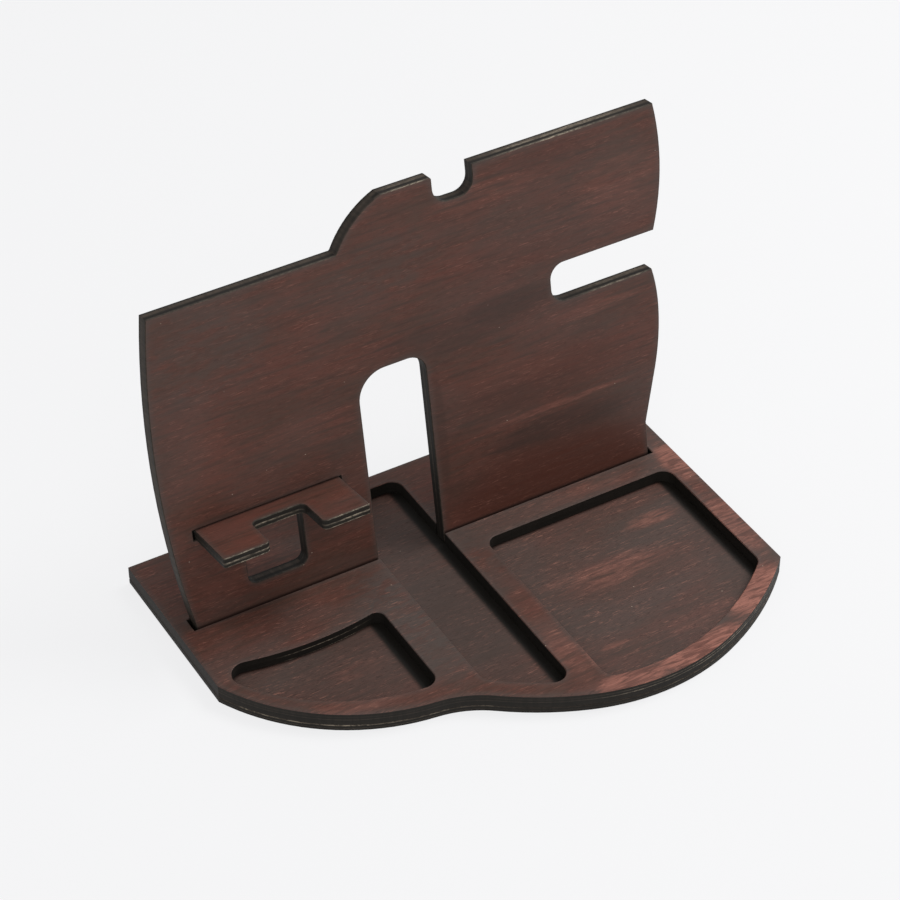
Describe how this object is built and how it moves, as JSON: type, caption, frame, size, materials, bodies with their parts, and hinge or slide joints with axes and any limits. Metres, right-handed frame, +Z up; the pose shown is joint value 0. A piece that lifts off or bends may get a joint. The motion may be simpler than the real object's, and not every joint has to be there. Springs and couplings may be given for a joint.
{
  "type": "valet docking stand",
  "caption": "Plywood valet docking stand: base with sunk trays, a leaning back panel with arch, watch slot and pen notch, and a phone shelf with a cable notch.",
  "frame": {"origin": "middle of the whole stand's footprint, on the surface it rests on", "axes": "+X to the right along the back panel as seen from the front, +Y to the back, +Z up"},
  "size_m": [0.3042, 0.21, 0.2123],
  "materials": {
    "stained_plywood": "dark mahogany stain, satin, with burnt laser-cut edges"
  },
  "bodies": {
    "base": {"base_bottom_plate": "stained_plywood", "base_top_plate": "stained_plywood"},
    "panel": {"back_panel": "stained_plywood"},
    "shelf": {"phone_shelf": "stained_plywood"}
  },
  "joints": [
    {"name": "panel_lift", "type": "slide", "parent": "base", "child": "panel", "axis": [0, 0.1736, 0.9848], "range_m": [0, 0.02]},
    {"name": "shelf_pull", "type": "slide", "parent": "panel", "child": "shelf", "axis": [0, -0.9848, 0.1736], "range_m": [0, 0.012]}
  ]
}
